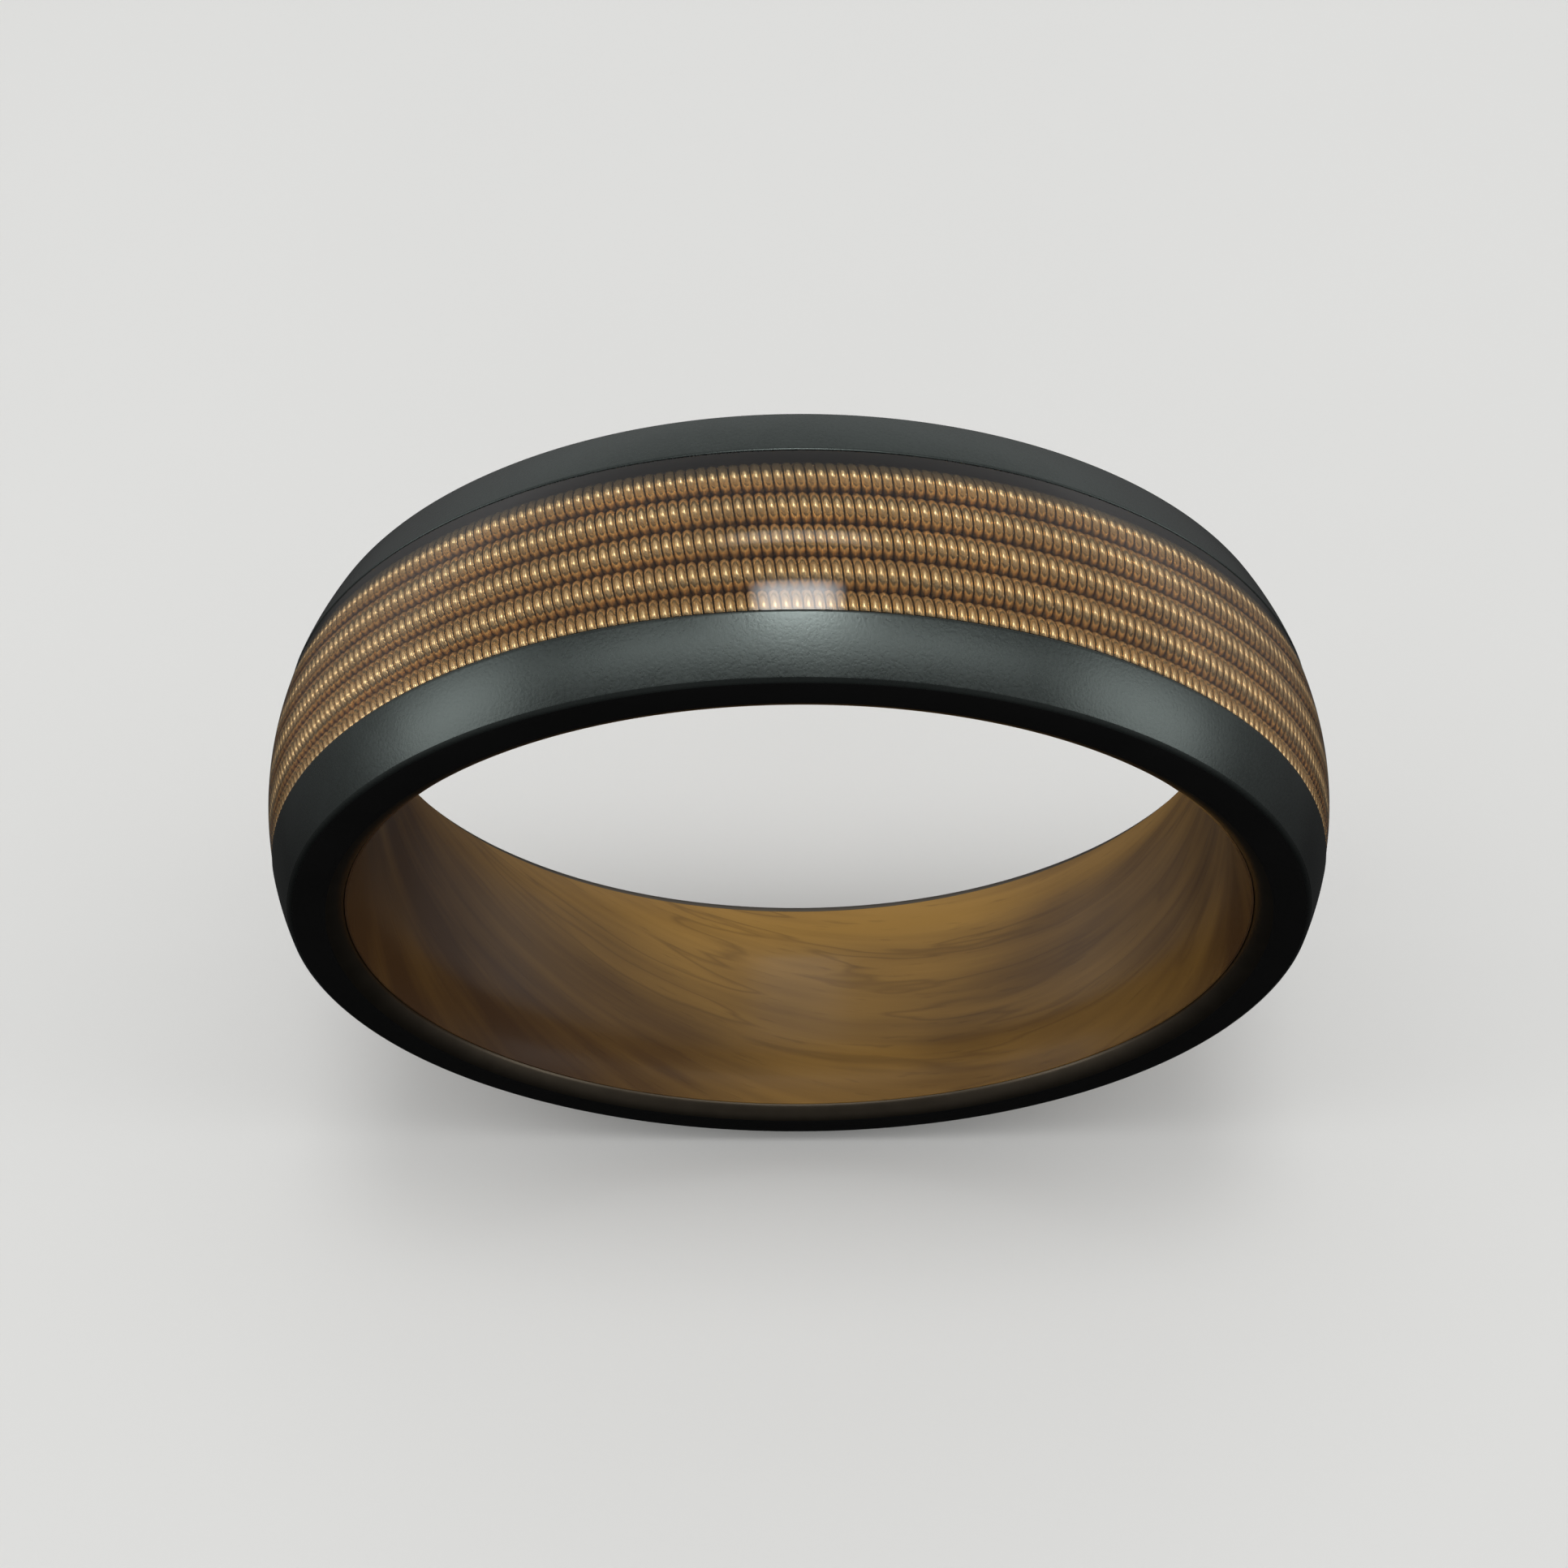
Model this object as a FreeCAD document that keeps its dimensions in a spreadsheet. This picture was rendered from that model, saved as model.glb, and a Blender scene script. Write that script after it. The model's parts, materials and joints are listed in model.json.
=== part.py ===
import FreeCAD, Part
import math
import os
import Sketcher

# A finger ring with laps of wound music string laid round it under clear resin.
#
#   ring_band      black metal band: domed outside, a channel round the crown, flat side faces
#   wood_sleeve    wooden comfort-fit liner bonded into the band, run out thin at both ends
#   string_core_N  plain steel wire of each string lap
#   string_wrap_N  the winding round that wire, here a plain tube
#   resin_fill     clear casting resin that fills the channel round and over the strings
#
# The ring's axis is +Y and the origin is the centre of the bore. The ring stands on its crown
# with +Z up. Every round body is a section in the YZ plane revolved about the Y axis, so in a
# sketch x runs along the ring's axis and y is the distance from it.

DRIVING_SIZES = [
    # alias, value, meaning
    ("band_width", 6.8, "along the axis, face to face"),
    ("crown_radius", 13.1, "largest radius, at the middle of the width"),
    ("dome_radius", 7.625, "radius of the arc that crowns the outside"),
    ("face_inner_radius", 11.57, "where the flat side face ends and the inner lip starts"),
    ("lip_arc_radius", 0.6, "rounding of the inner lip"),
    ("seat_radius", 11.03, "bore of the band, where the sleeve sits"),
    ("seat_length", 6.12, "length of that bore, between the two lips"),
    ("channel_width", 4.0, "channel for the strings"),
    ("channel_floor_radius", 11.56, "radius of the channel's floor"),
    ("channel_edge_break", 0.06, "rounding along the channel's two edges"),
    ("face_edge_break", 0.12, "rounding between the dome and the side faces"),
    ("bond_gap", 0.02, "adhesive film between sleeve and band"),
    ("bore_radius", 10.6, "smallest radius of the sleeve"),
    ("bore_land", 2.4, "length of the straight middle of the bore"),
    ("sleeve_edge", 0.05, "thickness left at the sleeve's ends"),
    ("string_diameter", 0.75, "over the winding"),
    ("core_diameter", 0.36, "plain wire inside the winding"),
    ("string_pitch", 0.765, "from one lap to the next"),
    ("string_clearance", 0.02, "between the laps and the channel's floor"),
    ("butt_gap_angle", 0.8, "degrees left open where the ends of a lap meet"),
    ("resin_sink", 0.03, "resin surface below the dome's arc"),
]
STRING_LAPS = 5
# The ends of the laps meet under the ring, each a little further round than the last.
FIRST_SEAM_ANGLE = 162.0
SEAM_STEP = 9.0

doc = FreeCAD.newDocument("string_inlay_ring")


def make_sheet():
    """The driving dimensions, in millimetres and degrees, one aliased cell each."""
    sheet = doc.addObject("Spreadsheet::Sheet", "sizes")
    for row, (alias, value, meaning) in enumerate(DRIVING_SIZES, start=1):
        sheet.set(f"A{row}", meaning)
        sheet.set(f"B{row}", str(value))
        sheet.setAlias(f"B{row}", alias)
    doc.recompute()
    return sheet


sizes = make_sheet()


def new_body(name):
    body = doc.addObject("PartDesign::Body", name)
    body.Label = name
    return body


def section_sketch(body, name):
    """A sketch on the body's YZ plane: x is along the ring's axis, y is the radius."""
    sketch = body.newObject("Sketcher::SketchObject", name)
    planes = [feature for feature in body.Origin.OriginFeatures if feature.Role == "YZ_Plane"]
    sketch.AttachmentSupport = [(planes[0], "")]
    sketch.MapMode = "FlatFace"
    return sketch


def bind(sketch, name, expression, constraint):
    """Add a dimension to the sketch, name it and tie it to the sheet."""
    index = sketch.addConstraint(constraint)
    sketch.renameConstraint(index, name)
    sketch.setExpression(f"Constraints.{name}", expression)


def revolve(body, sketch, name, angle="360"):
    """Turn the section about the ring's axis, which is the sketch's horizontal axis."""
    feature = body.newObject("PartDesign::Revolution", name)
    feature.Profile = sketch
    feature.ReferenceAxis = (sketch, ["H_Axis"])
    feature.setExpression("Angle", angle)
    body.Tip = feature
    doc.recompute()
    return feature


def join_ends(sketch, count):
    """Close a chain of edges, each drawn from where the last one ends."""
    for index in range(count):
        sketch.addConstraint(Sketcher.Constraint("Coincident", index, 2, (index + 1) % count, 1))


def point(along, radius):
    return FreeCAD.Vector(along, radius, 0)


def line(start, end):
    return Part.LineSegment(point(*start), point(*end))


def arc(centre, radius, start, end):
    """The part of a circle from start to end, drawn anticlockwise."""
    from_angle = math.atan2(start[1] - centre[1], start[0] - centre[0])
    to_angle = math.atan2(end[1] - centre[1], end[0] - centre[0])
    circle = Part.Circle(point(*centre), FreeCAD.Vector(0, 0, 1), radius)
    return Part.ArcOfCircle(circle, from_angle, to_angle)


def dome_height(along):
    """Radius of the domed outside at a distance along the axis from the middle."""
    centre = sizes.crown_radius - sizes.dome_radius
    return centre + math.sqrt(sizes.dome_radius**2 - along**2)


def circular_edges(feature, along, radius):
    """The full circles of a shape at that place along the axis and with that radius."""
    names = []
    for number, edge in enumerate(feature.Shape.Edges, start=1):
        if not isinstance(edge.Curve, Part.Circle):
            continue
        same_place = abs(abs(edge.Curve.Center.y) - along) < 1e-3
        if same_place and abs(edge.Curve.Radius - radius) < 1e-3:
            names.append(f"Edge{number}")
    return names


def round_edges(body, feature, name, edges, size):
    fillet = body.newObject("PartDesign::Fillet", name)
    fillet.Base = (feature, edges)
    fillet.setExpression("Radius", size)
    body.Tip = fillet
    doc.recompute()
    return fillet


def make_ring_band():
    """Domed band with the string channel outside and a straight seat with rounded lips inside."""
    half = sizes.band_width / 2
    channel = sizes.channel_width / 2
    floor = sizes.channel_floor_radius
    seat = sizes.seat_length / 2
    dome_centre = (0, sizes.crown_radius - sizes.dome_radius)
    lip = sizes.lip_arc_radius
    lip_centre = (half - lip, sizes.face_inner_radius)

    body = new_body("ring_band")
    sketch = section_sketch(body, "band_section")
    face_top = (half, dome_height(half))
    channel_top = (channel, dome_height(channel))
    face_bottom = (half, sizes.face_inner_radius)
    seat_end = (seat, sizes.seat_radius)

    def mirrored(place):
        return (-place[0], place[1])

    outline = [
        arc(dome_centre, sizes.dome_radius, mirrored(channel_top), mirrored(face_top)),
        line(mirrored(face_top), mirrored(face_bottom)),
        arc(mirrored(lip_centre), lip, mirrored(face_bottom), mirrored(seat_end)),
        line(mirrored(seat_end), seat_end),
        arc(lip_centre, lip, seat_end, face_bottom),
        line(face_bottom, face_top),
        arc(dome_centre, sizes.dome_radius, face_top, channel_top),
        line(channel_top, (channel, floor)),
        line((channel, floor), (-channel, floor)),
        line((-channel, floor), mirrored(channel_top)),
    ]
    sketch.addGeometry(outline, False)
    left_dome, left_face, left_lip, seat_line, right_lip, right_face, right_dome = range(7)
    right_wall, floor_line, left_wall = range(7, 10)
    origin, height_axis = -1, -2
    start, end, centre = 1, 2, 3
    join_ends(sketch, len(outline))
    for upright in (right_face, left_wall, right_wall):
        sketch.addConstraint(Sketcher.Constraint("Vertical", upright))
    sketch.addConstraint(Sketcher.Constraint("Horizontal", floor_line))
    mirror_pairs = [
        (left_face, start, right_face, end),
        (left_face, end, right_face, start),
        (seat_line, start, seat_line, end),
        (right_wall, start, left_wall, end),
    ]
    for pair in mirror_pairs:
        sketch.addConstraint(Sketcher.Constraint("Symmetric", *pair, height_axis))
    sketch.addConstraint(Sketcher.Constraint("Coincident", left_dome, centre, right_dome, centre))
    sketch.addConstraint(Sketcher.Constraint("Equal", left_lip, right_lip))

    def along(name, expression, edge, place):
        value = sketch.getPoint(edge, place).x
        dimension = Sketcher.Constraint("DistanceX", origin, start, edge, place, value)
        bind(sketch, name, expression, dimension)

    def outward(name, expression, edge, place):
        value = sketch.getPoint(edge, place).y
        dimension = Sketcher.Constraint("DistanceY", origin, start, edge, place, value)
        bind(sketch, name, expression, dimension)

    along("half_width", "sizes.band_width / 2", right_face, start)
    along("half_channel", "sizes.channel_width / 2", right_wall, start)
    along("half_seat", "sizes.seat_length / 2", seat_line, end)
    outward("dome_centre", "sizes.crown_radius - sizes.dome_radius", left_dome, centre)
    outward("floor", "sizes.channel_floor_radius", floor_line, start)
    outward("face_inner", "sizes.face_inner_radius", right_face, start)
    outward("seat", "sizes.seat_radius", seat_line, start)
    radius = Sketcher.Constraint("Radius", right_dome, sizes.dome_radius)
    bind(sketch, "dome", "sizes.dome_radius", radius)
    radius = Sketcher.Constraint("Radius", right_lip, sizes.lip_arc_radius)
    bind(sketch, "lip", "sizes.lip_arc_radius", radius)

    blank = revolve(body, sketch, "band_blank")
    edges = circular_edges(blank, channel, dome_height(channel))
    softened = round_edges(body, blank, "channel_edges", edges, "sizes.channel_edge_break")
    edges = circular_edges(softened, half, dome_height(half))
    round_edges(body, softened, "face_edges", edges, "sizes.face_edge_break")
    return body


def make_wood_sleeve():
    """Liner with a straight land in the middle of its bore and a curve out to each end."""
    half = sizes.seat_length / 2 - sizes.bond_gap
    outer = sizes.seat_radius - sizes.bond_gap
    edge = outer - sizes.sleeve_edge
    land = sizes.bore_land / 2
    rise = edge - sizes.bore_radius
    run = half - land
    flare = (run**2 + rise**2) / (2 * rise)
    flare_centre = (land, sizes.bore_radius + flare)

    body = new_body("wood_sleeve")
    sketch = section_sketch(body, "sleeve_section")
    outline = [
        line((half, outer), (-half, outer)),
        line((-half, outer), (-half, edge)),
        arc((-land, flare_centre[1]), flare, (-half, edge), (-land, sizes.bore_radius)),
        line((-land, sizes.bore_radius), (land, sizes.bore_radius)),
        arc(flare_centre, flare, (land, sizes.bore_radius), (half, edge)),
        line((half, edge), (half, outer)),
    ]
    sketch.addGeometry(outline, False)
    outside, left_end, left_flare, land_line, right_flare, right_end = range(6)
    origin, height_axis = -1, -2
    start, end = 1, 2
    smooth_joints = [(left_flare, end, land_line, start), (land_line, end, right_flare, start)]
    for index in range(len(outline)):
        following = (index + 1) % len(outline)
        joint = (index, end, following, start)
        kind = "Tangent" if joint in smooth_joints else "Coincident"
        sketch.addConstraint(Sketcher.Constraint(kind, *joint))
    for level in (outside, land_line):
        ends = (level, start, level, end)
        sketch.addConstraint(Sketcher.Constraint("Symmetric", *ends, height_axis))
    for upright in (left_end, right_end):
        sketch.addConstraint(Sketcher.Constraint("Vertical", upright))
    sketch.addConstraint(Sketcher.Constraint("Equal", left_end, right_end))
    length = Sketcher.Constraint("DistanceX", outside, end, outside, start, 2 * half)
    bind(sketch, "sleeve_length", "sizes.seat_length - 2 * sizes.bond_gap", length)
    length = Sketcher.Constraint("DistanceX", land_line, start, land_line, end, 2 * land)
    bind(sketch, "land_length", "sizes.bore_land", length)
    height = Sketcher.Constraint("DistanceY", origin, start, outside, start, outer)
    bind(sketch, "outside", "sizes.seat_radius - sizes.bond_gap", height)
    height = Sketcher.Constraint("DistanceY", origin, start, land_line, start, sizes.bore_radius)
    bind(sketch, "bore", "sizes.bore_radius", height)
    height = Sketcher.Constraint("DistanceY", left_end, end, left_end, start, sizes.sleeve_edge)
    bind(sketch, "edge", "sizes.sleeve_edge", height)
    revolve(body, sketch, "sleeve_turned")
    return body


def string_centre(lap):
    """Place of a lap's centre line: its expression along the axis and its radius."""
    offset = lap - (STRING_LAPS + 1) / 2
    along = f"{offset} * sizes.string_pitch"
    radius = "sizes.channel_floor_radius + sizes.string_clearance + sizes.string_diameter / 2"
    return along, radius


def make_lap(name, lap, diameters):
    """One turn round the ring, its section the circles of these sheet diameters."""
    body = new_body(name)
    sketch = section_sketch(body, f"{name}_section")
    along, radius = string_centre(lap)
    offset = (lap - (STRING_LAPS + 1) / 2) * sizes.string_pitch
    height = sizes.channel_floor_radius + sizes.string_clearance + sizes.string_diameter / 2
    for index, alias in enumerate(diameters):
        size = getattr(sizes, alias)
        circle = Part.Circle(point(offset, height), FreeCAD.Vector(0, 0, 1), size / 2)
        sketch.addGeometry(circle, False)
        diameter = Sketcher.Constraint("Diameter", index, size)
        bind(sketch, alias, f"sizes.{alias}", diameter)
        if index:
            sketch.addConstraint(Sketcher.Constraint("Coincident", 0, 3, index, 3))
    if offset:
        distance = Sketcher.Constraint("DistanceX", -1, 1, 0, 3, offset)
        bind(sketch, "along", along, distance)
    else:
        sketch.addConstraint(Sketcher.Constraint("PointOnObject", 0, 3, -2))
    distance = Sketcher.Constraint("DistanceY", -1, 1, 0, 3, height)
    bind(sketch, "outward", radius, distance)
    revolve(body, sketch, f"{name}_turn", "360 - sizes.butt_gap_angle")
    seam = FIRST_SEAM_ANGLE + (lap - 1) * SEAM_STEP
    body.Placement = FreeCAD.Placement(
        FreeCAD.Vector(), FreeCAD.Rotation(FreeCAD.Vector(0, 1, 0), seam)
    )
    return body


def make_resin_fill(strings):
    """The channel's whole section up to the dome, less the space that the strings take."""
    channel = sizes.channel_width / 2
    floor = sizes.channel_floor_radius
    skin = sizes.dome_radius - sizes.resin_sink
    dome_centre = (0, sizes.crown_radius - sizes.dome_radius)
    top = dome_centre[1] + math.sqrt(skin**2 - channel**2)

    body = new_body("resin_blank")
    sketch = section_sketch(body, "resin_section")
    outline = [
        arc(dome_centre, skin, (channel, top), (-channel, top)),
        line((-channel, top), (-channel, floor)),
        line((-channel, floor), (channel, floor)),
        line((channel, floor), (channel, top)),
    ]
    sketch.addGeometry(outline, False)
    dome, left_wall, floor_line, right_wall = range(4)
    origin, height_axis = -1, -2
    start, end, centre = 1, 2, 3
    join_ends(sketch, len(outline))
    sketch.addConstraint(Sketcher.Constraint("Vertical", left_wall))
    sketch.addConstraint(Sketcher.Constraint("Vertical", right_wall))
    ends = (floor_line, start, floor_line, end)
    sketch.addConstraint(Sketcher.Constraint("Symmetric", *ends, height_axis))
    sketch.addConstraint(Sketcher.Constraint("PointOnObject", dome, centre, height_axis))
    length = Sketcher.Constraint("DistanceX", floor_line, start, floor_line, end, 2 * channel)
    bind(sketch, "width", "sizes.channel_width", length)
    height = Sketcher.Constraint("DistanceY", origin, start, floor_line, start, floor)
    bind(sketch, "floor", "sizes.channel_floor_radius", height)
    height = Sketcher.Constraint("DistanceY", origin, start, dome, centre, dome_centre[1])
    bind(sketch, "dome_centre", "sizes.crown_radius - sizes.dome_radius", height)
    radius = Sketcher.Constraint("Radius", dome, skin)
    bind(sketch, "dome", "sizes.dome_radius - sizes.resin_sink", radius)
    revolve(body, sketch, "resin_poured")

    bundle = doc.addObject("Part::MultiFuse", "string_bundle")
    bundle.Shapes = strings
    fill = doc.addObject("Part::Cut", "resin_fill")
    fill.Base = body
    fill.Tool = bundle
    fill.Label = "resin_fill"
    doc.recompute()
    return fill


def check_document():
    """Stop if any object failed to compute or any sketch is left loose."""
    for item in doc.Objects:
        if "Invalid" in item.State or "Error" in item.State:
            raise RuntimeError(f"{item.Label} failed: {item.State}")
        if item.isDerivedFrom("Sketcher::SketchObject") and item.solve() != 0:
            raise RuntimeError(f"{item.Label} doesn't solve")


def export_parts(parts):
    os.makedirs("parts", exist_ok=True)
    for part in parts:
        shape = part.Shape
        if shape.isNull() or not shape.isValid() or len(shape.Solids) != 1:
            raise RuntimeError(f"{part.Label} isn't one valid solid")
        shape.exportStep(f"parts/{part.Label}.step")
        box = shape.optimalBoundingBox(False)
        print(
            f"{part.Label}: {shape.Volume:.2f} mm3, "
            f"{box.XLength:.2f} x {box.YLength:.2f} x {box.ZLength:.2f} mm"
        )


band = make_ring_band()
sleeve = make_wood_sleeve()
cores = []
wraps = []
for lap in range(1, STRING_LAPS + 1):
    cores.append(make_lap(f"string_core_{lap}", lap, ["core_diameter"]))
    wraps.append(make_lap(f"string_wrap_{lap}", lap, ["string_diameter", "core_diameter"]))
resin = make_resin_fill(cores + wraps)

doc.recompute()
check_document()
export_parts([band, sleeve, resin] + cores + wraps)
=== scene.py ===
"""A finger ring with laps of wound music string under clear resin and a wooden liner.

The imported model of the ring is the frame. Each of its pieces gets a finer turned or wound
shape here, in metres: the ring's axis is +Y, the bore's centre is the origin and the ring
stands on its crown with +Z up.
"""

import json
import math

import bmesh
import bpy
from bpy.props import FloatProperty, FloatVectorProperty, IntProperty, PointerProperty
from bpy.types import Operator, Panel, PropertyGroup
from mathutils import Matrix, Quaternion, Vector


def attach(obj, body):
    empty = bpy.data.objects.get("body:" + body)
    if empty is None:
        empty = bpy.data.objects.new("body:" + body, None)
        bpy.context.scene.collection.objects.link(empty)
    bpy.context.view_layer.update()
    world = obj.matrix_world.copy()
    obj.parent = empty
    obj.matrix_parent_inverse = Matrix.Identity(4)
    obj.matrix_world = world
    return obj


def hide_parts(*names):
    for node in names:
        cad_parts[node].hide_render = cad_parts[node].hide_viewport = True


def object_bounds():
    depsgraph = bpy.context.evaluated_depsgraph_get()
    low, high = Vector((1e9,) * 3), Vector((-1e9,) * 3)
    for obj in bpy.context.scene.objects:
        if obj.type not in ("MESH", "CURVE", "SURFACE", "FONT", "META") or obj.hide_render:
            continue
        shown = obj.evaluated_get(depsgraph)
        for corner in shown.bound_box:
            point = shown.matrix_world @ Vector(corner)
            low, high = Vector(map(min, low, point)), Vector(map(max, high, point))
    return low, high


bl_info = {
    "name": "String Inlay Ring",
    "version": (1, 0, 0),
    "blender": (4, 5, 0),
    "location": "View3D > Sidebar > Ring",
    "description": "Builds a finger ring with a wound-string inlay and a wooden liner",
    "category": "Object",
}

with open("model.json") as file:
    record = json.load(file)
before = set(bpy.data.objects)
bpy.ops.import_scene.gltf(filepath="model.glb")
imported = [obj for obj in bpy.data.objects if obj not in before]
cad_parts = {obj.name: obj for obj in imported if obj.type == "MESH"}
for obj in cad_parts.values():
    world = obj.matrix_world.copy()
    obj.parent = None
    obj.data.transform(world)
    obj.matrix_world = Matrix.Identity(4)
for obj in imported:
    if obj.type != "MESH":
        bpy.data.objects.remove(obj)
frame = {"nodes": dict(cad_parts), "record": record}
CAD_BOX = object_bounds()

MM = 0.001
FULL_TURN = 2 * math.pi

# Vertices this close are one, and a vertex this close to a place is at it.
MERGE = 0.0001 * MM
NEAR = 0.001 * MM
# A face belongs to a floor within this of it, and lies across the axis past this normal.
FLOOR_BAND = 0.005 * MM
ACROSS = 0.98

# Where in its block the liner was cut, and how the block's grain leans.
BLOCK_SHIFT = (0.007, 0.064, -0.004)
GRAIN_LEAN = (math.radians(21), 0.0, math.radians(12))

MOUNTS = {mount["name"]: mount for mount in frame["record"]["mounts"]}
HALF_WIDTH = abs(MOUNTS["front_face"]["pos_m"][1])
BORE_RADIUS = MOUNTS["finger_bore"]["dims"]["r_mm"] * MM
LAPS = sum(name.startswith("string_wrap_") for name in frame["nodes"])


# ---------------------------------------------------------------- settings


def length(name, description, default):
    return FloatProperty(
        name=name, description=description, default=default, min=0, precision=6, unit="LENGTH"
    )


def colour(name, description, default):
    return FloatVectorProperty(
        name=name, description=description, default=default, min=0, max=1, subtype="COLOR"
    )


def angle(name, description, degrees):
    return FloatProperty(
        name=name, description=description, default=math.radians(degrees), unit="ROTATION"
    )


class RingSizes(PropertyGroup):
    """Sizes of the metal band, the liner and the resin."""

    half_width: length("Half width", "From the middle to a side face", HALF_WIDTH)
    crown: length("Crown radius", "Largest radius, at the middle of the width", 13.1 * MM)
    dome: length("Dome radius", "Radius of the arc across the width", 7.625 * MM)
    face_inner: length("Face inner radius", "Where a side face turns into the lip", 11.57 * MM)
    lip: length("Lip rounding", "Radius of the inner lip", 0.6 * MM)
    seat: length("Seat radius", "Metal bore behind the liner", 11.03 * MM)
    half_seat: length("Half seat", "From the middle to a lip", 3.06 * MM)
    half_channel: length("Half channel", "From the middle to a channel wall", 2.0 * MM)
    floor: length("Channel floor", "Radius of the channel's floor", 11.56 * MM)
    channel_break: length("Channel edge", "Rounding of the channel's edges", 0.06 * MM)
    face_break: length("Face edge", "Rounding of the side faces' edges", 0.12 * MM)
    bore: length("Bore radius", "Smallest radius of the liner", BORE_RADIUS)
    half_land: length("Half land", "Half of the bore's straight middle", 1.2 * MM)
    liner_edge: length("Liner edge", "Thickness left at the liner's ends", 0.05 * MM)
    bond: length("Bond", "Adhesive film between liner and band", 0.02 * MM)
    resin_sink: length("Resin sink", "Resin surface below the dome", 0.03 * MM)
    resin_gap: length("Resin gap", "Between the resin and the channel", 0.002 * MM)
    facets: IntProperty(name="Facets", description="Steps round the ring", default=360, min=48)


class StringSizes(PropertyGroup):
    """Sizes of the wound strings."""

    outer: length("String diameter", "Over the winding", 0.76 * MM)
    core: length("Core diameter", "Plain wire inside", 0.36 * MM)
    pitch: length("Pitch", "From one lap to the next", 0.765 * MM)
    centre: length("Centre radius", "Radius of a lap's centre line", 11.96 * MM)
    turns: IntProperty(name="Turns", description="Turns of winding on a lap", default=342, min=8)
    gap: angle("Butt gap", "Left open where the ends of a lap meet", 0.8)
    first_seam: angle("First seam", "Where the first lap's ends meet, from the top", 162)
    seam_step: angle("Seam step", "How far each lap's seam is from the last", 9)


class StageSettings(PropertyGroup):
    """Camera, lights and floor."""

    elevation: angle("Elevation", "Camera's height above the horizon", 61.47)
    distance: length("Distance", "Camera to the middle of the bore", 61.5 * MM)
    aim_right: FloatProperty(
        name="Aim right", description="Aim beside the bore's middle", default=-0.355 * MM, unit="LENGTH"
    )
    aim_up: FloatProperty(
        name="Aim up", description="Aim above the bore's middle", default=1.04 * MM, unit="LENGTH"
    )
    roll: angle("Roll", "Camera's turn about its own axis", -0.849)
    lens: FloatProperty(name="Lens", description="Focal length in mm on 36 mm", default=56.14)
    floor_colour: colour("Floor", "Colour of the floor", (0.80, 0.80, 0.785))
    floor_reach: length("Floor reach", "From the floor's middle to its edges", 2.0)
    key: FloatProperty(name="Key", description="Brightness of the small top light", default=10.0)
    top: FloatProperty(name="Top", description="Brightness of the overhead softbox", default=0.6)
    back: FloatProperty(name="Back", description="Brightness of the light behind it", default=1.8)
    ceiling: FloatProperty(name="Ceiling", description="Brightness of the long strip", default=2.1)
    sides: FloatProperty(name="Sides", description="Brightness of the side panels", default=1.9)
    room: FloatProperty(name="Room", description="Even light that falls on everything", default=0.75)
    walls: FloatProperty(name="Walls", description="Brightness of the walls in shiny parts", default=1.0)


class FinishColours(PropertyGroup):
    """Base colours of the finishes."""

    oxide: colour("Blasted oxide", "Domed shoulders", (0.080, 0.093, 0.089))
    # Warm brown tint of the inner lips: a painted reflection of the wooden liner.
    oxide_lip_painted_reflection: colour("Worn oxide", "Inner lips", (0.130, 0.108, 0.080))
    oxide_face: colour("Polished oxide", "Side faces", (0.004, 0.004, 0.004))
    bronze: colour("Bronze", "Winding wire", (0.80, 0.56, 0.28))
    # Brown of the channel's floor: painted warm light in the gaps between the windings.
    bond: colour("Bond", "Coat on the channel's floor", (0.20, 0.10, 0.045))
    steel: colour("Steel", "Core wire", (0.56, 0.55, 0.52))
    resin: colour("Resin", "Clear fill", (1.0, 0.985, 0.95))
    wood_light: colour("Light wood", "Broad pale figure", (0.42, 0.230, 0.046))
    # Dark wood also gives the painted shade at the liner's sides, at half strength.
    wood_dark: colour("Dark wood", "Streaks and flecks", (0.075, 0.032, 0.008))


# ---------------------------------------------------------------- shader nodes


class Number:
    """A number in a node tree. Arithmetic on it adds Math nodes."""

    def __init__(self, nodes, socket):
        self.nodes = nodes
        self.socket = socket

    def _math(self, operation, *values):
        node = self.nodes.add("ShaderNodeMath", {"operation": operation}, dict(enumerate(values)))
        return Number(self.nodes, node.outputs[0])

    def __add__(self, other):
        return self._math("ADD", self, other)

    def __sub__(self, other):
        return self._math("SUBTRACT", self, other)

    def __rsub__(self, other):
        return self._math("SUBTRACT", other, self)

    def __mul__(self, other):
        return self._math("MULTIPLY", self, other)

    __radd__ = __add__
    __rmul__ = __mul__


class Nodes:
    """A node tree, and the one way that nodes are added to it."""

    def __init__(self, tree):
        self.tree = tree
        tree.nodes.clear()

    def add(self, kind, settings=None, inputs=None):
        """Add a node: its settings first, then the values or links of its sockets."""
        node = self.tree.nodes.new(kind)
        for name, value in (settings or {}).items():
            if name == "stops":
                self._set_stops(node.color_ramp, value)
            else:
                setattr(node, name, value)
        for name, value in (inputs or {}).items():
            self._feed(node.inputs[name], value)
        return node

    def _feed(self, socket, value):
        if isinstance(value, Number):
            value = value.socket
        if isinstance(value, bpy.types.NodeSocket):
            self.tree.links.new(value, socket)
        else:
            socket.default_value = value

    @staticmethod
    def _set_stops(ramp, stops):
        while len(ramp.elements) < len(stops):
            ramp.elements.new(1.0)
        for element, (position, level) in zip(ramp.elements, stops):
            element.position = position
            element.color = (level, level, level, 1.0)

    def ramp(self, value, stops):
        """The level that a ramp of (position, level) stops gives for a number."""
        node = self.add("ShaderNodeValToRGB", {"stops": stops}, {"Fac": value})
        return Number(self, node.outputs["Color"])


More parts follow.
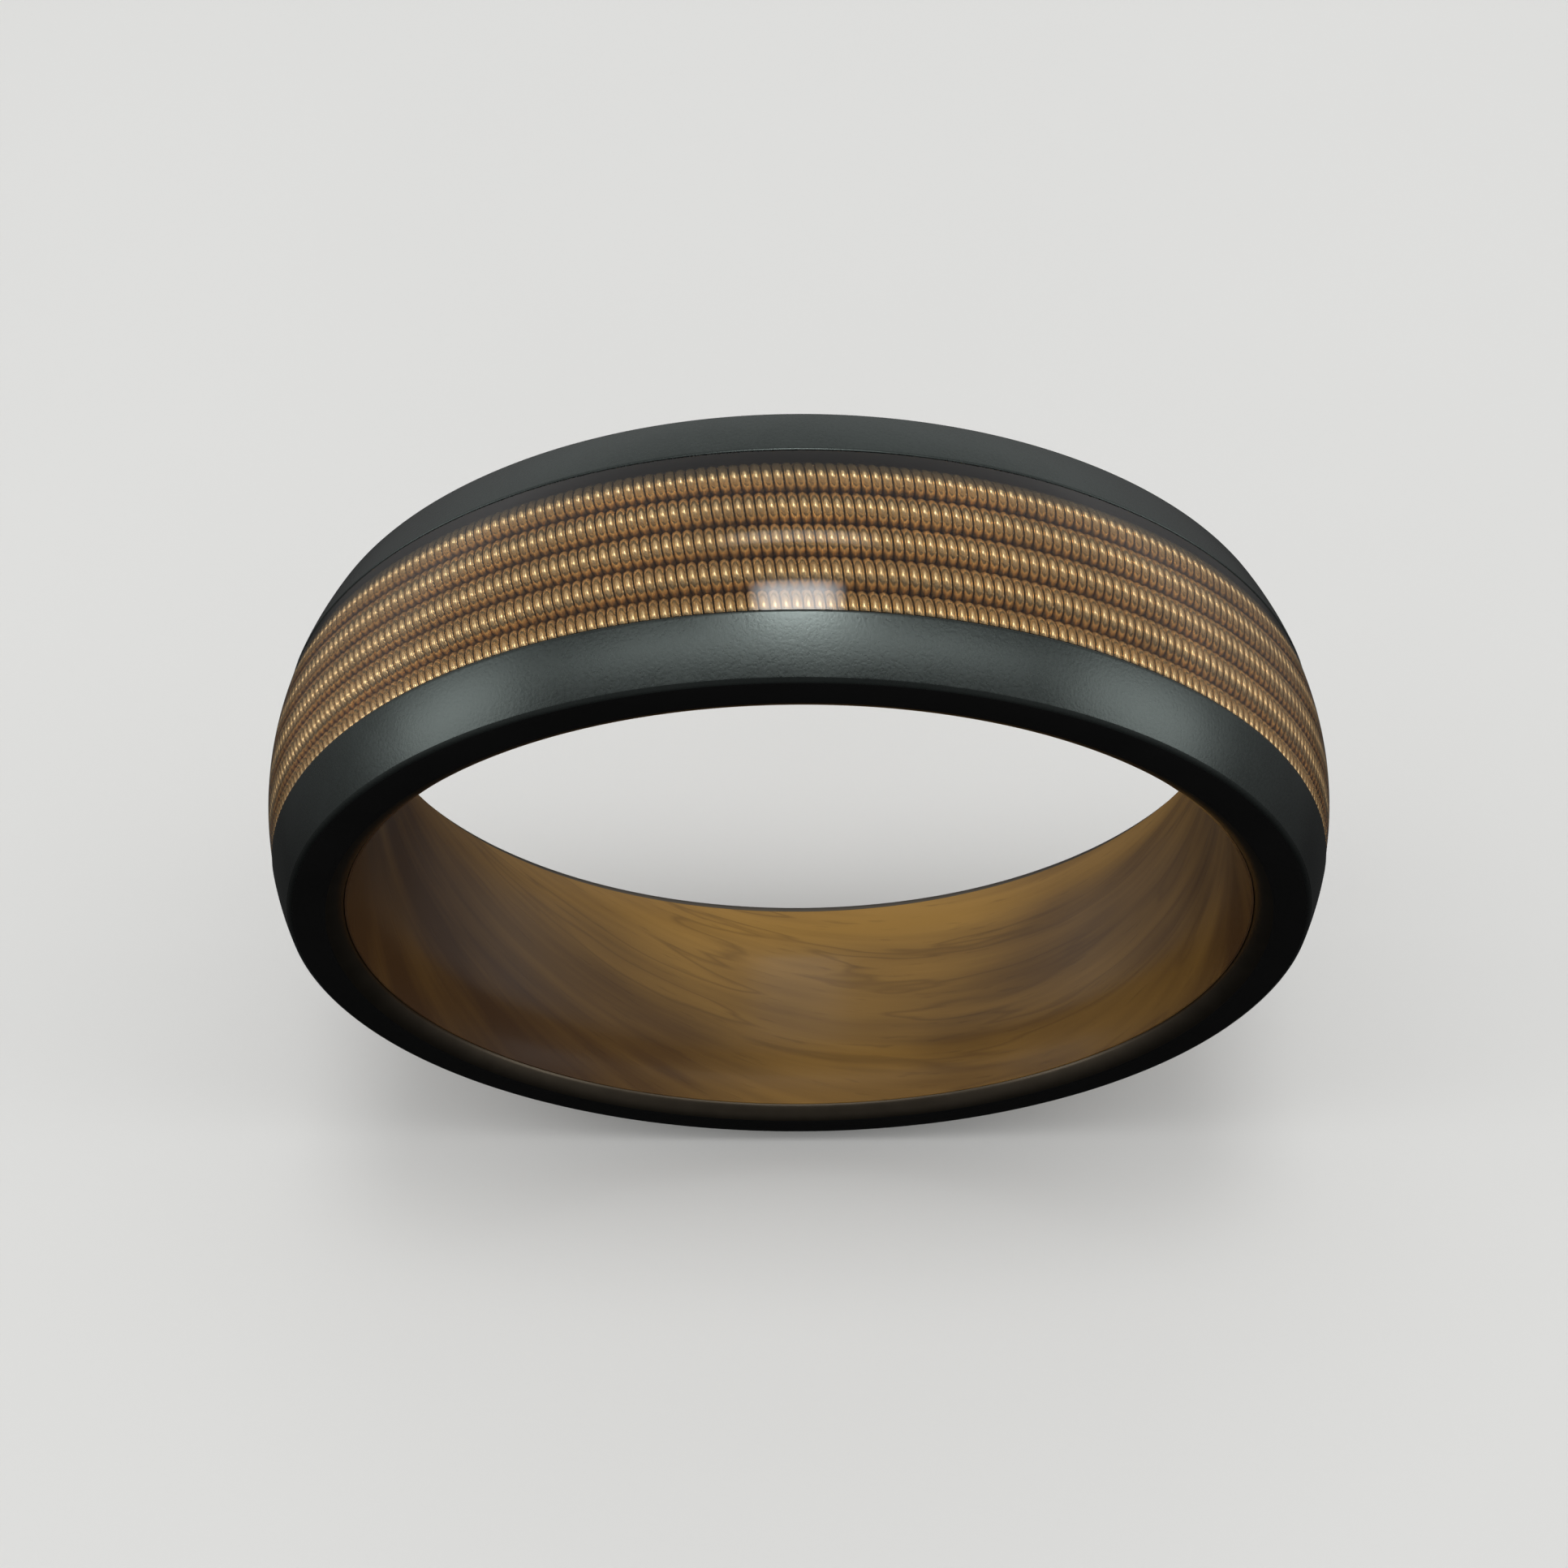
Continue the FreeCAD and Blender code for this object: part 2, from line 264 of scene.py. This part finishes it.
class Finish(Nodes):
    """A material: patterns on the object's own coordinates that feed a Principled shader."""

    def __init__(self, name):
        self.material = bpy.data.materials.new(name)
        self.material.use_nodes = True
        super().__init__(self.material.node_tree)
        self.place = self.add("ShaderNodeTexCoord").outputs["Object"]

    def leaned(self, shift, rotation):
        """The object's coordinates, turned and then shifted."""
        inputs = {"Vector": self.place, "Location": shift, "Rotation": rotation}
        return self.add("ShaderNodeMapping", None, inputs).outputs[0]

    def across_and_along(self):
        """Distances along the X axis and along the ring's axis."""
        axes = self.add("ShaderNodeSeparateXYZ", None, {"Vector": self.place}).outputs
        return Number(self, axes["X"]), Number(self, axes["Y"])

    def noise(self, scale, detail=3.0, roughness=0.55, distortion=0.0, place=None):
        inputs = {
            "Vector": place or self.place,
            "Scale": scale,
            "Detail": detail,
            "Roughness": roughness,
            "Distortion": distortion,
        }
        node = self.add("ShaderNodeTexNoise", {"noise_dimensions": "3D"}, inputs)
        return Number(self, node.outputs[0])

    def grain(self, place, scale, detail, roughness=0.5, distortion=0.0):
        """Noise drawn out by its own amount along each axis."""
        inputs = {"Vector": place, "Scale": scale}
        drawn_out = self.add("ShaderNodeMapping", None, inputs).outputs[0]
        return self.noise(1, detail, roughness, distortion, drawn_out)

    def mix(self, factor, first, second):
        """A colour between two colours."""
        node = self.add("ShaderNodeMix", {"data_type": "RGBA"}, {0: factor, 6: first, 7: second})
        return node.outputs[2]

    def bump(self, height, distance, strength=1.0):
        inputs = {"Height": height, "Distance": distance, "Strength": strength}
        return self.add("ShaderNodeBump", None, inputs).outputs[0]

    def made(self, inputs):
        """Feed the Principled shader and return the material."""
        shader = self.add("ShaderNodeBsdfPrincipled", None, inputs)
        self.add("ShaderNodeOutputMaterial", None, {"Surface": shader.outputs[0]})
        return self.material


def rgba(rgb, gain=1.0):
    return (*(min(1.0, channel * gain) for channel in rgb), 1.0)


def blasted_oxide(colours):
    """Black oxide with the fine even grain of a bead-blasted surface."""
    finish = Finish("blasted_oxide")
    grain = finish.noise(14000, detail=3.0, roughness=0.6)
    cloud = finish.noise(600, detail=2.0)
    tone = finish.ramp(grain * 0.5 + cloud * 0.5, [(0.3, 0.0), (0.7, 1.0)])
    return finish.made(
        {
            "Base Color": finish.mix(tone, rgba(colours.oxide, 0.85), rgba(colours.oxide, 1.2)),
            "Metallic": 1.0,
            "Roughness": 0.25 + tone * 0.06,
            "Normal": finish.bump(grain, 0.003 * MM),
        }
    )


def lip_oxide_painted_reflection(colours):
    """The oxide on the inner lips, tinted warm brown as a painted reflection of the wooden liner, with
    random mottling.
    """
    finish = Finish("lip_oxide_painted_reflection")
    mottle = finish.noise(1500)
    return finish.made(
        {
            # Painted reflection: the lips' base colour carries the liner's warm brown.
            "Base Color": finish.mix(mottle, rgba(colours.oxide_lip_painted_reflection, 0.8), rgba(colours.oxide_lip_painted_reflection, 1.2)),
            "Metallic": 1.0,
            "Roughness": 0.3 + mottle * 0.1,
            "Normal": finish.bump(mottle, 0.002 * MM),
        }
    )


def polished_oxide(colours):
    """The same oxide on the flat side faces: nearly black, with faint turning lines."""
    finish = Finish("polished_oxide")
    lines = finish.noise(400, detail=2.0)
    return finish.made(
        {
            "Base Color": finish.mix(lines, rgba(colours.oxide_face), rgba(colours.oxide_face, 1.6)),
            "Metallic": 0.0,
            "Roughness": 0.28 + lines * 0.12,
            "Specular IOR Level": 0.06,
            "Normal": finish.bump(finish.noise(9000), 0.001 * MM),
        }
    )


def painted_gap_light(colours):
    """The channel's floor that the strings lie on, brown as painted warm light in the gaps between the
    bronze turns, clouded at random.
    """
    finish = Finish("painted_gap_light")
    cloud = finish.noise(900, detail=3.0)
    return finish.made(
        {
            "Base Color": finish.mix(cloud, rgba(colours.bond, 0.8), rgba(colours.bond, 1.2)),
            "Roughness": 0.35 + cloud * 0.2,
            "Normal": finish.bump(cloud, 0.01 * MM),
        }
    )


def bronze_wire(colours):
    """Drawn bronze wire, a little darker and duller in patches."""
    finish = Finish("bronze_wire")
    patch = finish.noise(700, detail=3.0)
    fleck = finish.noise(6000, detail=2.0)
    tone = finish.ramp(patch * 0.7 + fleck * 0.3, [(0.3, 0.0), (0.7, 1.0)])
    return finish.made(
        {
            "Base Color": finish.mix(tone, rgba(colours.bronze, 0.82), rgba(colours.bronze, 1.1)),
            "Metallic": 0.85,
            "Roughness": 0.27 - tone * 0.08,
            "Normal": finish.bump(fleck, 0.002 * MM),
        }
    )


def steel_wire(colours):
    """Plain drawn steel."""
    finish = Finish("steel_wire")
    dull = finish.noise(2500)
    return finish.made(
        {
            "Base Color": finish.mix(dull, rgba(colours.steel, 0.8), rgba(colours.steel, 1.15)),
            "Metallic": 1.0,
            "Roughness": 0.26 + dull * 0.16,
            "Normal": finish.bump(dull, 0.002 * MM),
        }
    )


def polished_resin(colours):
    """Clear casting resin with a polished, very slightly wavy skin."""
    finish = Finish("polished_resin")
    wave = finish.noise(450, detail=1.0)
    return finish.made(
        {
            "Base Color": rgba(colours.resin),
            "Roughness": 0.02,
            "IOR": 1.5,
            "Specular IOR Level": 0.05,
            "Transmission Weight": 1.0,
            "Normal": finish.bump(wave, 0.004 * MM),
        }
    )


def turned_oak(colours):
    """Polished oak whose grain runs round the bore and drifts across it, with painted shade that darkens
    it towards the sides and painted light towards the right and the far edge.
    """
    finish = Finish("turned_oak")
    block = finish.leaned(BLOCK_SHIFT, GRAIN_LEAN)
    blotches = finish.grain(block, (110, 200, 110), detail=2.0)
    layers = finish.grain(block, (60, 800, 60), detail=3.0, distortion=0.4)
    streaks = finish.grain(block, (150, 3400, 150), detail=4.0, roughness=0.6, distortion=0.2)
    pores = finish.grain(block, (800, 9000, 800), detail=2.0)
    figure = blotches * 0.5 + layers * 0.37 + streaks * 0.13
    across, along = finish.across_and_along()
    # Painted light and shade: lighter to the right and towards the far edge, darker towards both sides.
    painted_lighting = across * 9 - across * across * 2900 + along * 30
    thin_end = along * along * 1e5
    # The tone mixes the wood's figure with half of the painted light and shade.
    tone = finish.ramp(figure + painted_lighting * 0.5, [(0.28, 0.0), (0.60, 1.0)])
    # Painted shade: how far the sides of the bore go towards half-strength dark wood.
    shade = finish.ramp(painted_lighting + 0.5, [(0.15, 0.6), (0.50, 0.0)])
    line = finish.ramp(layers, [(0.475, 0.0), (0.495, 1.0), (0.515, 0.0)])
    pore = finish.ramp(pores, [(0.28, 1.0), (0.38, 0.0)])
    figured = finish.mix(tone, rgba(colours.wood_dark), rgba(colours.wood_light))
    lined = finish.mix(line * 0.35, figured, rgba(colours.wood_dark))
    # Painted shade laid over the figured wood at the sides.
    body = finish.mix(shade, lined, rgba(colours.wood_dark, 0.5))
    return finish.made(
        {
            "Base Color": finish.mix(pore * 0.2, body, rgba(colours.wood_dark, 0.7)),
            "Roughness": 0.46 - tone * 0.08,
            "Specular IOR Level": 0.25,
            "Coat Weight": finish.ramp(thin_end, [(0.1, 0.7), (0.5, 0.1)]),
            "Coat Roughness": 0.18,
            "Normal": finish.bump(streaks * 0.5 - pore * 0.5, 0.004 * MM),
        }
    )


def floor_board(settings):
    """A plain pale matt floor."""
    finish = Finish("floor_board")
    cloud = finish.noise(30, detail=4.0)
    base = settings.floor_colour
    return finish.made(
        {
            "Base Color": finish.mix(cloud, rgba(base, 0.97), rgba(base, 1.02)),
            "Roughness": 0.65 + cloud * 0.1,
            "Normal": finish.bump(finish.noise(1500), 0.01 * MM),
        }
    )


# ---------------------------------------------------------------- turned shapes


def arc(centre, radius, start, end, steps):
    """Points (along, outward) on a circle from one angle to another, ends included."""
    points = []
    for step in range(steps + 1):
        turn = start + (end - start) * step / steps
        along = centre[0] + radius * math.cos(turn)
        points.append((along, centre[1] + radius * math.sin(turn)))
    return points


def dome_arc(sizes, sink, start, end, steps):
    """The crowned outside between two places along the axis, sunk by some depth."""
    radius = sizes.dome - sink
    centre = (0.0, sizes.crown - sizes.dome)
    turns = [math.acos(along / radius) for along in (start, end)]
    return arc(centre, radius, *turns, steps)


def turned(outline, facets):
    """Spin a closed outline of (along, outward) points about the ring's axis."""
    shape = bmesh.new()
    corners = [shape.verts.new((0.0, along, outward)) for along, outward in outline]
    loop = [shape.edges.new((corner, corners[index - 1])) for index, corner in enumerate(corners)]
    bmesh.ops.spin(
        shape,
        geom=corners + loop,
        cent=(0, 0, 0),
        axis=(0, 1, 0),
        angle=FULL_TURN,
        steps=facets,
        use_merge=True,
    )
    bmesh.ops.remove_doubles(shape, verts=shape.verts, dist=MERGE)
    bmesh.ops.recalc_face_normals(shape, faces=shape.faces)
    return shape


def soften(shape, along, outward, size):
    """Round the two circular edges at that place, one on each side of the middle."""

    def is_there(vertex):
        reach = math.hypot(vertex.co.x, vertex.co.z)
        return abs(abs(vertex.co.y) - along) < NEAR and abs(reach - outward) < NEAR

    edges = [edge for edge in shape.edges if all(is_there(vertex) for vertex in edge.verts)]
    bmesh.ops.bevel(
        shape, geom=edges, offset=size, segments=4, profile=0.5, affect="EDGES", material=-1
    )


def as_mesh(name, shape):
    mesh = bpy.data.meshes.new(name)
    shape.to_mesh(mesh)
    shape.free()
    return mesh


def add_piece(name, mesh, materials, node, crease=35):
    """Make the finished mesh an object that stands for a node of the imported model."""
    for material in materials:
        mesh.materials.append(material)
    mesh.shade_smooth()
    mesh.set_sharp_from_angle(angle=math.radians(crease))
    piece = bpy.data.objects.new(name, mesh)
    bpy.context.scene.collection.objects.link(piece)
    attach(piece, "root")
    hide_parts(node)
    return piece


class RING_OT_add_band(Operator):
    """Add the black metal band"""

    bl_idname = "ring.add_band"
    bl_label = "Band"

    @staticmethod
    def finish_of(face, sizes):
        """Shoulders 0, faces across the axis 1, the channel's floor 2, lips and seat 3."""
        if abs(face.normal.y) > ACROSS:
            return 1
        middle = face.calc_center_median()
        reach = math.hypot(middle.x, middle.z)
        # The channel's floor, brown with painted light for the gaps between the windings.
        if abs(reach - sizes.floor) < FLOOR_BAND:
            return 2
        return 3 if reach < sizes.face_inner else 0

    def execute(self, context):
        sizes = context.scene.ring_sizes
        colours = context.scene.ring_colours
        half, channel = sizes.half_width, sizes.half_channel
        lip_centre = (half - sizes.lip, sizes.face_inner)
        lip_start = -math.asin((sizes.face_inner - sizes.seat) / sizes.lip)
        lip = arc(lip_centre, sizes.lip, lip_start, 0.0, 10)
        dome = dome_arc(sizes, 0.0, half, channel, 16)
        right = lip + dome + [(channel, sizes.floor)]
        left = [(-along, outward) for along, outward in reversed(right)]
        shape = turned(right + left, sizes.facets)
        soften(shape, channel, dome[-1][1], sizes.channel_break)
        soften(shape, half, dome[0][1], sizes.face_break)
        for face in shape.faces:
            face.material_index = self.finish_of(face, sizes)
        finishes = (blasted_oxide, polished_oxide, painted_gap_light, lip_oxide_painted_reflection)
        materials = [finish(colours) for finish in finishes]
        add_piece("band", as_mesh("band", shape), materials, "ring_band")
        return {"FINISHED"}


class RING_OT_add_liner(Operator):
    """Add the wooden comfort-fit liner"""

    bl_idname = "ring.add_liner"
    bl_label = "Liner"

    def execute(self, context):
        sizes = context.scene.ring_sizes
        half = sizes.half_seat - sizes.bond
        outer = sizes.seat - sizes.bond
        rise = outer - sizes.liner_edge - sizes.bore
        run = half - sizes.half_land
        flare = (run**2 + rise**2) / (2 * rise)
        flare_end = math.asin(run / flare) - math.pi / 2
        curve = arc((sizes.half_land, sizes.bore + flare), flare, -math.pi / 2, flare_end, 16)
        right = curve + [(half, outer)]
        left = [(-along, outward) for along, outward in reversed(right)]
        shape = turned(right + left, sizes.facets)
        wood = turned_oak(context.scene.ring_colours)
        add_piece("liner", as_mesh("liner", shape), [wood], "wood_sleeve")
        return {"FINISHED"}


class RING_OT_add_resin(Operator):
    """Add the clear resin that fills the channel"""

    bl_idname = "ring.add_resin"
    bl_label = "Resin"

    @staticmethod
    def finish_of(face, floor):
        """Clear skin 0. Bonded faces show what is behind them: metal walls 1, the channel's floor with
        its painted gap light 2.
        """
        if abs(face.normal.y) > ACROSS:
            return 1
        middle = face.calc_center_median()
        return 2 if math.hypot(middle.x, middle.z) < floor + FLOOR_BAND else 0

    def execute(self, context):
        sizes = context.scene.ring_sizes
        half = sizes.half_channel - sizes.resin_gap
        floor = sizes.floor + sizes.resin_gap
        skin = dome_arc(sizes, sizes.resin_sink, half, -half, 32)
        shape = turned(skin + [(-half, floor), (half, floor)], sizes.facets)
        for face in shape.faces:
            face.material_index = self.finish_of(face, floor)
        finishes = (polished_resin, polished_oxide, painted_gap_light)
        materials = [finish(context.scene.ring_colours) for finish in finishes]
        mesh = as_mesh("resin", shape)
        piece = add_piece("resin", mesh, materials, "resin_fill")
        piece.visible_shadow = False
        return {"FINISHED"}


# ---------------------------------------------------------------- wound strings


def lap_places(strings):
    """For each lap: its number, distance along the axis and the turn that places its seam."""
    for lap in range(LAPS):
        along = (lap - (LAPS - 1) / 2) * strings.pitch
        yield lap + 1, along, strings.first_seam + lap * strings.seam_step


def bend(shape, radius):
    """Bend a straight shape that lies along X onto a circle about the ring's axis."""
    for vertex in shape.verts:
        turn = vertex.co.x / radius
        reach = radius + vertex.co.z
        vertex.co = (reach * math.sin(turn), vertex.co.y, reach * math.cos(turn))


def cap_ends(shape):
    rims = [edge for edge in shape.edges if edge.is_boundary]
    bmesh.ops.holes_fill(shape, edges=rims, sides=0)
    bmesh.ops.recalc_face_normals(shape, faces=shape.faces)


def repeated(shape, count, pitch):
    """Repeat the shape along X, each copy joined to the one before."""
    first = shape.verts[:] + shape.edges[:] + shape.faces[:]
    for number in range(1, count):
        copy = bmesh.ops.duplicate(shape, geom=first)["geom"]
        corners = [part for part in copy if isinstance(part, bmesh.types.BMVert)]
        bmesh.ops.translate(shape, verts=corners, vec=(number * pitch, 0, 0))
    bmesh.ops.remove_doubles(shape, verts=shape.verts, dist=MERGE)


def wound_lap(strings, steps=14, sides=8):
    """One lap of winding: a helix of wire wound straight along X, then bent round the ring."""
    span = (FULL_TURN - strings.gap) * strings.centre
    pitch = span / strings.turns
    helix = (strings.outer - pitch) / 2
    shape = bmesh.new()
    upright = Matrix.Translation((pitch / 2, 0, helix)) @ Matrix.Rotation(math.pi / 2, 4, "X")
    bmesh.ops.create_circle(shape, segments=sides, radius=pitch / 2, matrix=upright)
    bmesh.ops.spin(
        shape,
        geom=shape.verts[:] + shape.edges[:],
        cent=(0, 0, 0),
        axis=(1, 0, 0),
        dvec=(pitch / steps, 0, 0),
        angle=FULL_TURN,
        steps=steps,
    )
    repeated(shape, strings.turns - 1, pitch)
    cap_ends(shape)
    bend(shape, strings.centre)
    return shape


def core_lap(strings, steps=240, sides=16):
    """One lap of the plain wire inside the winding."""
    shape = bmesh.new()
    across = Matrix.Translation((0, 0, strings.centre)) @ Matrix.Rotation(math.pi / 2, 4, "Y")
    bmesh.ops.create_circle(shape, segments=sides, radius=strings.core / 2, matrix=across)
    bmesh.ops.spin(
        shape,
        geom=shape.verts[:] + shape.edges[:],
        cent=(0, 0, 0),
        axis=(0, 1, 0),
        angle=FULL_TURN - strings.gap,
        steps=steps,
    )
    cap_ends(shape)
    return shape


class RING_OT_add_strings(Operator):
    """Add the laps of wound string"""

    bl_idname = "ring.add_strings"
    bl_label = "Strings"

    def execute(self, context):
        strings = context.scene.ring_strings
        colours = context.scene.ring_colours
        kinds = [
            ("winding", wound_lap, bronze_wire(colours), "string_wrap", "winding_bronze"),
            ("core", core_lap, steel_wire(colours), "string_core", "core_steel"),
        ]
        for name, build, material, node, slot in kinds:
            first = as_mesh(name, build(strings))
            for number, along, seam in lap_places(strings):
                mesh = first.copy()
                place = Matrix.Translation((0, along, 0)) @ Matrix.Rotation(seam, 4, "Y")
                mesh.transform(place)
                add_piece(f"{name}_{number}", mesh, [material], f"{node}_{number}", 80)
            bpy.data.meshes.remove(first)
        return {"FINISHED"}


# ---------------------------------------------------------------- stage


def add_softbox(name, direction, distance, size, brightness):
    """A rectangular light with soft edges that faces the ring's middle.

    It looks equally bright at any size.
    """
    lamp = bpy.data.lights.new(name, "AREA")
    lamp.shape = "RECTANGLE"
    lamp.size, lamp.size_y = size
    lamp.energy = brightness * math.pi * lamp.size * lamp.size_y
    lamp.use_nodes = True
    nodes = Nodes(lamp.node_tree)
    place = nodes.add("ShaderNodeNewGeometry").outputs["Parametric"]
    sides = nodes.add("ShaderNodeSeparateXYZ", None, {"Vector": place}).outputs
    wide, high = Number(nodes, sides["X"]), Number(nodes, sides["Y"])
    soft_edge = [(0.0, 0.0), (0.2, 1.0)]
    level = nodes.ramp(wide * (1 - wide), soft_edge) * nodes.ramp(high * (1 - high), soft_edge)
    emission = nodes.add("ShaderNodeEmission", None, {"Strength": level})
    nodes.add("ShaderNodeOutputLight", None, {"Surface": emission.outputs[0]})
    holder = bpy.data.objects.new(name, lamp)
    toward = Vector(direction).normalized()
    holder.location = toward * distance
    holder.rotation_euler = toward.to_track_quat("Z", "Y").to_euler()
    bpy.context.scene.collection.objects.link(holder)


class RING_OT_add_stage(Operator):
    """Add the floor, the lights and the camera"""

    bl_idname = "ring.add_stage"
    bl_label = "Stage"

    def execute(self, context):
        stage = context.scene.ring_stage
        self.add_floor(context, stage)
        self.add_lights(stage)
        self.add_room(context, stage)
        self.add_camera(context, stage)
        return {"FINISHED"}

    def add_floor(self, context, stage):
        shape = bmesh.new()
        level = Matrix.Translation((0, 0, CAD_BOX[0][2]))
        reach = stage.floor_reach
        bmesh.ops.create_grid(shape, x_segments=1, y_segments=1, size=reach, matrix=level)
        mesh = as_mesh("floor", shape)
        mesh.materials.append(floor_board(stage))
        floor = bpy.data.objects.new("floor", mesh)
        floor.visible_glossy = False
        floor.visible_transmission = False
        context.scene.collection.objects.link(floor)

    def add_lights(self, stage):
        add_softbox("key", (0, 0.10, 1), 0.31, (0.10, 0.08), stage.key)
        add_softbox("top", (0, 0.06, 1), 0.32, (0.10, 0.15), stage.top)
        add_softbox("back", (0, 0.544, 1), 0.31, (0.16, 0.03), stage.back)
        add_softbox("ceiling", (0, -0.12, 1), 0.30, (0.80, 0.06), stage.ceiling)
        add_softbox("left", (-1, -0.08, 0.35), 0.30, (0.13, 0.20), stage.sides)
        add_softbox("right", (1, -0.08, 0.35), 0.30, (0.13, 0.20), stage.sides)

    def add_room(self, context, stage):
        """Even light on the floor and on dull surfaces. Shiny ones see a room with dim walls."""
        world = bpy.data.worlds.new("studio")
        world.use_nodes = True
        nodes = Nodes(world.node_tree)
        ray = nodes.add("ShaderNodeLightPath").outputs
        even = Number(nodes, ray["Is Camera Ray"]) + Number(nodes, ray["Is Diffuse Ray"])
        toward = nodes.add("ShaderNodeTexCoord").outputs["Generated"]
        axes = nodes.add("ShaderNodeSeparateXYZ", None, {"Vector": toward}).outputs
        level = Number(nodes, axes["Z"]) * 0.5 + 0.5
        stops = [(0.0, 0.04), (0.15, 0.07), (0.35, 0.40), (0.52, 0.85), (0.75, 0.6), (1.0, 0.45)]
        backward = Number(nodes, axes["Y"]) * 0.4 + 0.6
        walls = nodes.ramp(level, stops) * backward * stage.walls
        strength = even * stage.room + (1 - even) * walls
        background = nodes.add("ShaderNodeBackground", None, {"Strength": strength})
        nodes.add("ShaderNodeOutputWorld", None, {"Surface": background.outputs[0]})
        context.scene.world = world
        context.scene.view_settings.view_transform = "Standard"

    def add_camera(self, context, stage):
        lens = bpy.data.cameras.new("camera")
        lens.lens = stage.lens
        lens.sensor_width = 36
        lens.clip_start = 1 * MM
        camera = bpy.data.objects.new("camera", lens)
        back = Vector((0, -math.cos(stage.elevation), math.sin(stage.elevation)))
        right = Vector((1, 0, 0))
        aim = right * stage.aim_right + back.cross(right) * stage.aim_up
        camera.location = back * stage.distance
        facing = (aim - camera.location).to_track_quat("-Z", "Y")
        camera.rotation_mode = "QUATERNION"
        camera.rotation_quaternion = facing @ Quaternion((0, 0, 1), stage.roll)
        context.scene.collection.objects.link(camera)
        context.scene.camera = camera


# ---------------------------------------------------------------- add-on


class RING_PT_panel(Panel):
    """A button for each operator and the settings under them."""

    bl_idname = "RING_PT_panel"
    bl_label = "String Inlay Ring"
    bl_space_type = "VIEW_3D"
    bl_region_type = "UI"
    bl_category = "Ring"

    def draw(self, context):
        for operator in PIECE_OPERATORS:
            self.layout.operator(operator.bl_idname)
        for name in SETTINGS:
            settings = getattr(context.scene, name)
            box = self.layout.box()
            for prop in settings.bl_rna.properties:
                if prop.identifier not in {"rna_type", "name"}:
                    box.prop(settings, prop.identifier)


PIECE_OPERATORS = (
    RING_OT_add_band,
    RING_OT_add_liner,
    RING_OT_add_strings,
    RING_OT_add_resin,
    RING_OT_add_stage,
)
SETTINGS = {
    "ring_sizes": RingSizes,
    "ring_strings": StringSizes,
    "ring_colours": FinishColours,
    "ring_stage": StageSettings,
}


def register():
    for name, group in SETTINGS.items():
        bpy.utils.register_class(group)
        setattr(bpy.types.Scene, name, PointerProperty(type=group))
    for item in (*PIECE_OPERATORS, RING_PT_panel):
        bpy.utils.register_class(item)


def unregister():
    for item in (RING_PT_panel, *reversed(PIECE_OPERATORS)):
        bpy.utils.unregister_class(item)
    for name, group in reversed(SETTINGS.items()):
        delattr(bpy.types.Scene, name)
        bpy.utils.unregister_class(group)


def main():
    register()
    bpy.ops.ring.add_band()
    bpy.ops.ring.add_liner()
    bpy.ops.ring.add_strings()
    bpy.ops.ring.add_resin()
    bpy.ops.ring.add_stage()


if __name__ == "__main__":
    main()
